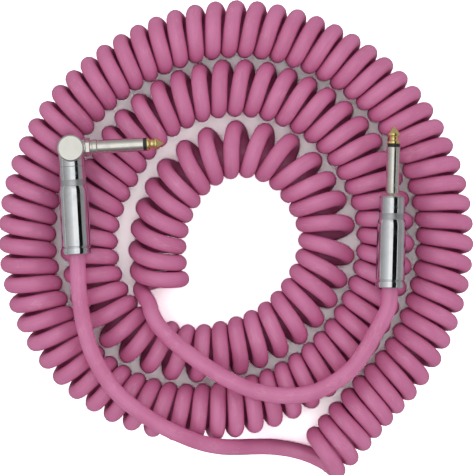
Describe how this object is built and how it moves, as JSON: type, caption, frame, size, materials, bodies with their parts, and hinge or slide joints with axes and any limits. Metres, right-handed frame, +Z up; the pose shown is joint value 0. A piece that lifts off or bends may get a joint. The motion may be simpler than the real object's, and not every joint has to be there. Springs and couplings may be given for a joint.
{
  "type": "instrument cable",
  "caption": "Curly instrument cable in a flat spiral coil, with a straight and a right-angle 6.35 mm phone plug whose shells and cap unscrew.",
  "frame": {"origin": "floor level under the middle of the coiled cable's box", "axes": "+Z up from the surface the coil lies on, +Y the way the straight plug points, +X from the right-angle plug to the straight plug"},
  "size_m": [0.2228, 0.2238, 0.042],
  "materials": {
    "jacket": "satin flexible PVC",
    "gold_plate": "gold plated brass",
    "nickel_plate": "nickel plated brass",
    "chrome_plate": "chrome plated brass",
    "black_nylon": "black moulded plastic",
    "fibre_board": "insulating fibre",
    "liner_plastic": "thin insulating tube",
    "copper": "bare copper strands"
  },
  "bodies": {
    "cable": {"curly_cord": "jacket", "straight_lead": "jacket", "angle_lead": "jacket", "straight_tip": "gold_plate", "straight_tip_insulator": "black_nylon", "straight_sleeve": "nickel_plate", "straight_rear_washer": "fibre_board", "straight_tip_lug": "nickel_plate", "straight_ground_clamp": "nickel_plate", "straight_core": "black_nylon", "straight_braid": "copper", "angle_tip": "gold_plate", "angle_tip_insulator": "black_nylon", "angle_sleeve": "nickel_plate", "angle_lock_nut": "nickel_plate", "angle_head": "chrome_plate", "angle_rear_washer": "fibre_board", "angle_tip_lug": "nickel_plate", "angle_ground_clamp": "nickel_plate", "angle_core": "black_nylon", "angle_braid": "copper"},
    "straight_liner_body": {"straight_liner": "liner_plastic"},
    "straight_shell_body": {"straight_shell": "chrome_plate"},
    "angle_liner_body": {"angle_liner": "liner_plastic"},
    "angle_shell_body": {"angle_shell": "chrome_plate"},
    "angle_disc_body": {"angle_cap_disc": "fibre_board"},
    "angle_cap_body": {"angle_cap": "chrome_plate"}
  },
  "joints": [
    {"name": "straight_shell_travel", "type": "slide", "parent": "cable", "child": "straight_liner_body", "axis": [-0.0262, -0.9997, 0], "range_m": [0, 0.005]},
    {"name": "straight_shell_turn", "type": "hinge", "parent": "straight_liner_body", "child": "straight_shell_body", "pos_m": [0.07125, -0.02355, 0.0342], "axis": [-0.0262, -0.9997, 0], "range_deg": [0, 1800]},
    {"name": "angle_shell_travel", "type": "slide", "parent": "cable", "child": "angle_liner_body", "axis": [0.0558, -0.9984, 0], "range_m": [0, 0.005]},
    {"name": "angle_shell_turn", "type": "hinge", "parent": "angle_liner_body", "child": "angle_shell_body", "pos_m": [-0.0746, -0.0079, 0.0342], "axis": [0.0558, -0.9984, 0], "range_deg": [0, 1800]},
    {"name": "angle_cap_travel", "type": "slide", "parent": "cable", "child": "angle_disc_body", "axis": [0, 0, 1], "range_m": [0, 0.00187]},
    {"name": "angle_cap_turn", "type": "hinge", "parent": "angle_disc_body", "child": "angle_cap_body", "pos_m": [-0.07736, 0.04152, 0.0342], "axis": [0, 0, 1], "range_deg": [0, 900]}
  ],
  "couplings": [
    {"joint": "straight_shell_turn", "follows": "straight_shell_travel", "rad_per_m": 6283.2},
    {"joint": "angle_shell_turn", "follows": "angle_shell_travel", "rad_per_m": 6283.2},
    {"joint": "angle_cap_turn", "follows": "angle_cap_travel", "rad_per_m": 8377.6}
  ]
}
